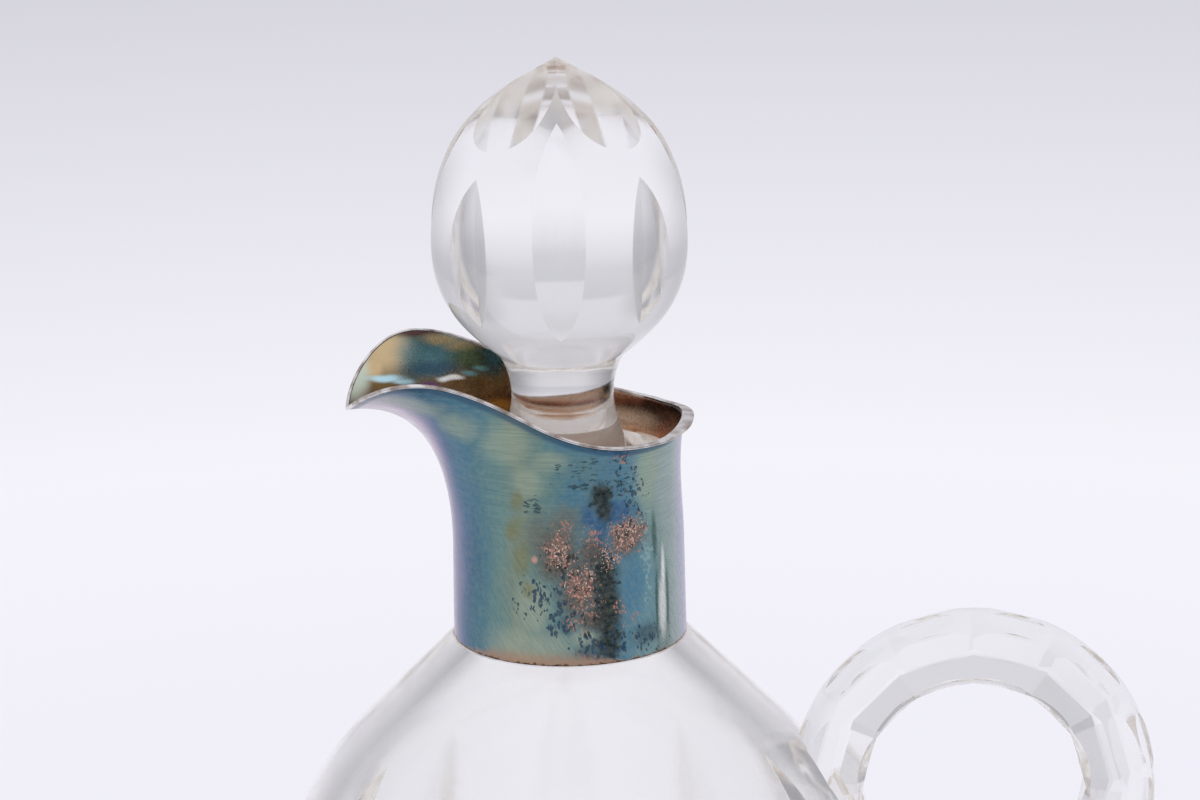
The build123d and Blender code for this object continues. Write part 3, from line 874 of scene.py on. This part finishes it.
def tarnishedOutside(name):
    # silver plate on copper, tarnished: a sulphide film in teal, blue and olive bands, worn to pink copper
    # specks in the middle, with black runs, dark flecks and brown grime along the foot. Painted light lies on
    # it too:
    # a pale highlight streak with dark edges, bright glints on the copper and a lavender sheen at the sides
    material, tree = newMaterial(name)
    film = outsideFilm
    x, y, height = collarPlace(tree)
    turn = worth("ARCTAN2", x, times(y, -1.0))
    degreesRound = times(turn, 180 / pi)
    # the same place in millimetres of wall, folded back on itself behind so that it has no seam
    folded = worth("ARCSINE", worth("SINE", turn))
    foldedDegrees = times(folded, 180 / pi)
    wall = placeAt(times(folded, film["scale"]), height, worth("MAXIMUM", y, 0.0))
    drift = noiseFrom(wall, 7.0, 4.0, 0.55)
    driftUp = noiseFrom(wall, 9.0, 3.0, 0.5, (1, 2.5, 1))
    fine = noiseFrom(wall, 1.1, 3.0, 0.6)
    # the bands wander, except near the two sides, and under the spout they shift towards the lavender of the
    # sides, a painted sheen
    wander = between(worth("ABSOLUTE", foldedDegrees), *film["settled"], film["wander"], 0.0)
    bandAt = swayed(foldedDegrees, driftUp, wander)
    paintedSheenUnderSpout = times(between(height, 20.0, 46.0), between(foldedDegrees, -50, -80))
    bandAt = minus(bandAt, times(paintedSheenUnderSpout, film["paintedSheenUnderSpout"]))
    colour = coloured(plus(worth("DIVIDE", bandAt, 180.0), 0.5),
                      [((degree + 90) / 180, tint) for degree, tint in film["bands"]])
    across, up = film["sway"]
    spot = placeAt(swayed(degreesRound, drift, across), swayed(height, drift, up))
    across, up = film["ragged"]
    close = placeAt(swayed(degreesRound, noiseFrom(wall, 2.4, 3.0, 0.6), across),
                    swayed(height, noiseFrom(wall, 3.1, 3.0, 0.6), up))
    exact = placeAt(degreesRound, height)
    swirl = addNode(tree, "TexNoise", {"Scale": 0.7, "Detail": 2.0, "Vector": wall}).outputs["Color"]
    bent = addNode(tree, "VectorMath", {
        "operation": "MULTIPLY_ADD", 0: swirl, 1: (film["bend"], film["bend"], 0), 2: wall}).outputs[0]
    # fine brushed lines round the upper wall, a slanting scrub below
    brushed = noiseFrom(wall, 0.35, 2.0, 0.6, (26, 1, 1))
    slant = addNode(tree, "VectorRotate", {
        "rotation_type": "Z_AXIS", "Angle": radians(film["scrubAngle"]), "Vector": wall}).outputs[0]
    scrubbed = noiseFrom(slant, 0.3, 2.0, 0.6, (14, 1, 1))
    lines = addNode(tree, "Mix", {
        "data_type": "FLOAT", 0: between(height, *film["brushed"]), 2: scrubbed, 3: brushed}).outputs[0]
    for tint, strength, kind, spots in outsideStains.values():
        mask = stained({"soft": spot, "exact": exact}.get(kind, close), spots)
        if kind in spotKinds:
            mask = spotted(bent, mask, kind)
        elif kind == "grain":
            mask = grained(wall, mask)
        colour = blended(times(mask, strength), colour, tint)
    # pits lined with dark sulphide, each a ring round a bare point
    fromPit = addNode(tree, "TexVoronoi", {"Scale": 1 / film["pits"], "Vector": wall}).outputs["Distance"]
    pitRing = times(between(fromPit, 0.028, 0.036), between(fromPit, 0.05, 0.06, 1.0, 0.0))
    colour = blended(times(pitRing, between(height, *film["pitsFrom"])), colour, "#24333a")
    # tone that drifts a little everywhere
    colour = blended(between(fine, 0.3, 0.75, 0.0, 0.16), colour, "#b4bba4")
    colour = blended(between(lines, 0.35, 0.65, 0.22, 0.0), colour, "#2f5466")
    # brown grime where the foot meets the glass, highest at the left of the front, and a dark line by the rim
    least, more = film["grime"]
    start, full, fall, end = film["grimeLeft"]
    leftFront = times(between(degreesRound, start, full), between(degreesRound, fall, end, 1, 0))
    grimeEdge = swayed(height, fine, -2.6)
    grimeShare = worth("DIVIDE", grimeEdge, plus(times(leftFront, more), least))
    rise = addNode(tree, "Attribute", {"attribute_name": "upTheWall"}).outputs["Fac"]
    for share, tint in ((between(grimeShare, 0.2, 1.5, 0.85, 0.0), "#a98870"),
                        (between(grimeEdge, 0.0, 0.5, 0.9, 0.0), "#38281f"),
                        (between(rise, *film["underRim"], 0.0, 0.7), "#33506a")):
        colour = blended(share, colour, tint)
    plateShader(colour, between(fine, 0.2, 0.8, *film["roughness"]), plus(lines, fine), 0.25)
    return material


# Places inside are millimetres along the jug and a level: the height above the foot with a share of the reach
# sideways. Both sets of bands start at a level and run up over a span of levels.
insideFilm = {
    "sideShare": 0.3, "sway": (3.0, 1.6), "lipFrom": (-12.0, -4.0), "roughness": (0.22, 0.32),
    "lipBands": (36.0, 24.0, 0.25, (
        (0.0, "#241813"), (0.36, "#33231a"), (0.5, "#6b5236"), (0.6, "#75603d"), (0.7, "#4b5a55"),
        (0.8, "#3d6069"), (0.9, "#46696c"), (1.0, "#7f8f80"))),
    "handleBands": (34.0, 14.0, 0.3, (
        (0.0, "#c99b80"), (0.22, "#bd8060"), (0.4, "#855844"), (0.56, "#58443a"), (0.7, "#664c42"),
        (0.8, "#935f4a"), (0.9, "#cda184"), (1.0, "#e4ccba")))}
insideStains = {
    "straw": ("#dcc092", 0.85, ((-34.0, 55.6, 6.0, 4.6), (-36.5, 53.0, 3, 3))),
    "lip green": ("#cfdccb", 0.85, ((-39.6, 52.0, 2.6, 6),)),
    "teal": ("#5d868c", 0.85, ((-27, 54.6, 6.5, 4.6),)),
    "deep blue": ("#35546c", 0.7, ((-25.5, 52.2, 6, 1.8),)),
    "plum edge": ("#5c3232", 0.85, ((-28.6, 59.8, 7, 1.3),)),
    "tan": ("#b79d6c", 0.7, ((-23.5, 58.2, 4.6, 1.4), (-19.5, 56.8, 4, 1.6))),
    "olive": ("#55613f", 0.8, ((-18.4, 54.4, 4.4, 2.8),)),
    # painted highlights low by the lip: pale cyan, white and cyan streaks where the inner plate mirrors the
    # light
    "painted pale cyan highlight": ("#bfe6f0", 0.95, ((-34.0, 50.6, 4.2, 0.8), (-30.6, 50.0, 2.6, 0.7))),
    "white glint": ("#fbfbf8", 0.95, ((-22.2, 50.2, 2.6, 0.6),)),
    "painted cyan highlight streak": ("#7fb6be", 0.7, ((-18.6, 51.2, 2.2, 0.6), (-16.0, 52.4, 2.0, 0.6))),
    "violet": ("#6d4a78", 0.85, ((-27.4, 48.9, 4.0, 0.9),)),
    "brown": ("#7a603f", 0.85, ((-17, 47.3, 5, 2.4),)),
    "gold": ("#bf8c44", 0.9, ((-12.6, 44.8, 3, 1.8),))}


def tarnishedInside(name):
    # the smoother inner face under the same film: straw, plum, teal and blue by the lip, brown deep down,
    # with painted highlights in pale cyan and white low down on the lip side
    material, tree = newMaterial(name)
    along, y, height = collarPlace(tree)
    side = worth("ABSOLUTE", y)
    level = plus(height, times(side, insideFilm["sideShare"]))
    place = objectPlace(tree)
    drift = noiseFrom(place, 6 * mm, 1.0, 0.4)
    fine = noiseFrom(place, 0.7 * mm, 3.0, 0.6)

    def banded(bands):
        start, span, wander, tints = insideFilm[bands]
        return coloured(swayed(worth("DIVIDE", minus(level, start), span), drift, wander), tints)

    colour = banded("lipBands")
    across, up = insideFilm["sway"]
    spot = placeAt(swayed(along, drift, across), swayed(level, drift, up))
    for tint, strength, spots in insideStains.values():
        colour = blended(times(stained(spot, spots), strength), colour, tint)
    # by the handle the wall is dark red-brown, cream where wine dried low down, bare pinkish plate at the rim
    driedWine = times(between(height, 37.4, 39.6, 1.0, 0.0), between(side, 10.0, 16.0))
    dark = blended(times(driedWine, 0.8), banded("handleBands"), "#e8cbb2")
    colour = blended(between(along, *insideFilm["lipFrom"], 1.0, 0.0), dark, colour)
    plateShader(colour, between(fine, 0.2, 0.8, *insideFilm["roughness"]), fine, 0.1)
    return material


plateOutside = tarnishedOutside("tarnished silver plate outside")
plateInside = tarnishedInside("tarnished silver plate inside")
giveMaterials(collarPiece, [plateOutside, plateInside], lambda face: int(face.index >= outsideFaces))
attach(collarPiece, "jug")
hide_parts("spout_collar")


wire = {"bead": 0.15, "beadOut": 0.24, "width": 0.36, "height": 0.6, "gap": 0.03, "beadSteps": 9,
        "flange": 1.5}


def wireSection():
    # out and up from the middle of the collar's edge: two beads on the outer face, a plain rounded back
    r, out = wire["bead"], wire["beadOut"]
    points = []
    for middle, first, last in ((r, -80, 62), (wire["height"] - r, -62, 80)):
        for step in range(wire["beadSteps"]):
            turn = radians(first + (last - first) * step / (wire["beadSteps"] - 1))
            points.append((out + r * cos(turn), middle + r * sin(turn)))
    w, h = wire["width"], wire["height"]
    return points + [(0.05, h + 0.02), (-0.2, h), (-w + 0.08, h - 0.06), (-w, h - 0.18), (-w, 0.16),
                     (-w + 0.07, 0.04)]


def rimWire(surface, across):
    # reeded wire: two fine beads side by side, spreading to a small flange over the handle
    edge = surface[:, -1] - across[:, -1] * collar["wall"] / 2
    upward = unit(surface[:, -1] * 3 - surface[:, -2] * 4 + surface[:, -3])
    outward = across[:, -1]
    back = np.clip(edge[:, 0] / collar["topRadius"], 0, 1)[:, None] ** 4 * wire["flange"]
    rows = []
    for out, rise in wireSection():
        spread = out + (out + wire["width"]) / (2 * wire["width"]) * back
        rows.append(edge + outward * spread + upward * (rise + wire["gap"]))
    points = np.stack(rows, 1).reshape(-1, 3) * mm + np.array((0, 0, collarFootZ * mm))
    piece = newPiece("rimWire", points, loopedFaces(surface.shape[0], len(rows), closedRows=True))
    # the groove between the two beads, which the wire's material paints dark as shade
    groove = np.zeros(len(rows))
    groove[wire["beadSteps"] - 1:wire["beadSteps"] + 1] = 1.0
    marked(piece, "groove", np.tile(groove, surface.shape[0]))
    return piece


def rubbedSilver(name):
    # silver wire, soldered on and rubbed bright by handling, with brown tarnish left in patches
    material, tree = newMaterial(name)
    wear = noiseFrom(objectPlace(tree), 3.0 * mm)
    colour = coloured(wear, ((0.32, "#a3958c"), (0.46, "#cdc6c1"), (0.6, "#ebe8e6")))
    groove = addNode(tree, "Attribute", {"attribute_name": "groove"}).outputs["Fac"]
    # painted shade: the groove between the beads darkened to a dark brown line
    colour = blended(between(groove, 0.2, 0.7, 0.0, 0.95), colour, "#3a2e28")
    surfaced(addNode(tree, "BsdfPrincipled", {
        "Metallic": 1.0, "Base Color": colour, "Roughness": between(wear, 0.3, 0.6, 0.36, 0.2)}))
    return material


print("stage: rim wire")
wirePiece = rimWire(collarFace, collarAcross)
polished(wirePiece, 40)
wirePiece.data.materials.append(rubbedSilver("rubbed silver wire"))
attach(wirePiece, "jug")
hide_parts("rim_wire")


def oldPlaster(name):
    # plaster of Paris, poured and gone yellow with wine: chalky, with pin holes and rusty stains
    material, tree = newMaterial(name)
    place = objectPlace(tree)
    stain = noiseFrom(place, 5 * mm, 5.0, 0.6)
    grain = noiseFrom(place, 0.6 * mm, 4.0)
    colour = coloured(stain, ((0.36, "#9a5f3e"), (0.43, "#c99f84"), (0.55, "#ead9cd")))
    surfaced(addNode(tree, "BsdfPrincipled", {
        "Roughness": 0.85, "Base Color": colour, "Normal": bumped(grain, 0.6, 0.15)}))
    return material


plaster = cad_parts["plaster_bed"]
plaster.data.materials.clear()
plaster.data.materials.append(oldPlaster("old plaster of Paris"))


backdrop = {"tones": ((0.0, "#ecebf3"), (0.25, "#edecf4"), (0.45, "#f3f2f9"), (0.95, "#d9d8e0")),
            "room": ((0.5, "#dcdbe2"), (0.56, "#dad9e0"), (0.62, "#d4d3da"), (0.68, "#cfced5"),
                     (0.8, "#d6d5dc"), (1.0, "#f4f3f8")),
            "flag": 0.52, "flagEdges": (0.2, 0.8), "flagsFrom": (0.08, 0.3), "floorRadius": 4.0,
            "corners": 96, "shadowShare": 0.3, "dim": 0.93, "air": "#f4f4f8", "airStrength": 0.6}


def studioFloor():
    turns = [2 * pi * step / backdrop["corners"] for step in range(backdrop["corners"])]
    points = [(backdrop["floorRadius"] * cos(t), backdrop["floorRadius"] * sin(t), 0) for t in turns]
    floor = newPiece("studioFloor", points, [tuple(range(len(points)))])
    material, tree = newMaterial("matt paper sweep")
    place = objectPlace(tree)
    reach = lengthOf(place)
    paper = coloured(reach, backdrop["tones"])
    # the side flags show only through glass, and grow with the distance and with the turn to either side
    turned = worth("DIVIDE", worth("ABSOLUTE", partsOf(place)[0]), reach)
    flags = times(between(turned, *backdrop["flagEdges"], 0.0, backdrop["flag"] - 1.0),
                  between(reach, *backdrop["flagsFrom"]))
    throughGlass = addNode(tree, "LightPath").outputs["Is Transmission Ray"]
    glow = addNode(tree, "Emission", {"Color": paper, "Strength": plus(times(flags, throughGlass), 1.0)})
    matt = addNode(tree, "BsdfDiffuse", {"Color": paper})
    surfaced(mixedShader(times(seenDirectly(tree), 1 - backdrop["shadowShare"]), matt, glow))
    floor.data.materials.append(material)


def studioWorld():
    # an even pale room, a little greyer overhead and behind the lens, with a grey flag at each side: what is
    # seen through glass bends towards the flags at its edges, which draws its outlines
    world = bpy.data.worlds.new("studio")
    bpy.context.scene.world = world
    world.use_nodes = True
    tree = world.node_tree
    tree.nodes.clear()
    x, y, z = partsOf(addNode(tree, "TexCoord").outputs["Generated"])
    path = addNode(tree, "LightPath").outputs
    tone = coloured(plus(times(z, 0.5), 0.5), backdrop["room"])
    flags = between(worth("ABSOLUTE", x), *backdrop["flagEdges"], 1.0, backdrop["flag"])
    through = times(path["Is Transmission Ray"], minus(flags, 1.0))
    strength = times(between(y, -0.95, -0.3, backdrop["dim"], 1.0), plus(through, 1.0))
    room = addNode(tree, "Background", {
        "Color": tone, "Strength": worth("MAXIMUM", strength, path["Is Camera Ray"])})
    air = addNode(tree, "Background", {"Color": backdrop["air"], "Strength": backdrop["airStrength"]})
    mixed = mixedShader(seenDirectly(tree), air, room)
    addNode(tree, "OutputWorld", {"Surface": mixed.outputs[0]})


lamps = {
    "left softbox": {"at": (-0.9, -0.7, 0.9), "size": 0.7, "watts": 7.0},
    "right softbox": {"at": (1.0, -0.5, 0.6), "size": 0.5, "watts": 3.0},
    "top softbox": {"at": (0.1, 0.3, 1.2), "size": 0.8, "watts": 6.0}}


def softbox(name, at, size, watts):
    data = bpy.data.lights.new(name, "AREA")
    data.shape, data.size, data.energy = "SQUARE", size, watts
    lamp = linked(name, data)
    lamp.location = at
    # the glass and plate mirror the room's even light and not a lamp's square
    lamp.visible_glossy = lamp.visible_transmission = False
    lamp.rotation_euler = (Vector((0, 0, 0.1)) - Vector(at)).to_track_quat("-Z", "Y").to_euler()


# The lens looks a little down, with a slight lean; the collar's foot lies at footPixel of a 1200 x 800 frame.
camera = {"down": 16.8, "lean": -1.1, "focalPixels": 9000.0, "pixelsPerMm": 5.257,
          "footPixel": (570.5, 630.0), "frame": (1200, 800), "sensor": 36.0}


def makeCamera():
    down, lean = radians(camera["down"]), radians(camera["lean"])
    forward = Vector((0, cos(down), -sin(down)))
    right = Vector((1, 0, 0))
    up = right.cross(forward)
    rightward = right * cos(lean) + up * sin(lean)
    upward = up * cos(lean) - right * sin(lean)
    wide, high = camera["frame"]
    px, py = camera["footPixel"]
    focal = camera["focalPixels"]
    towards = forward + rightward * ((px - wide / 2) / focal) - upward * ((py - high / 2) / focal)
    distance = focal / camera["pixelsPerMm"] * mm
    place = Vector((0, 0, collarFootZ * mm)) - towards.normalized() * distance
    data = bpy.data.cameras.new("camera")
    data.sensor_width = camera["sensor"]
    data.lens = focal / wide * camera["sensor"]
    data.clip_start, data.clip_end = 0.05, 30
    eye = linked("camera", data)
    turn = Matrix((rightward, upward, -forward)).transposed()
    eye.matrix_world = Matrix.Translation(place) @ turn.to_4x4()
    bpy.context.scene.camera = eye


print("stage: studio")
studioFloor()
studioWorld()
for name, facts in lamps.items():
    softbox(name, **facts)
makeCamera()
bpy.context.scene.view_settings.view_transform = "Standard"
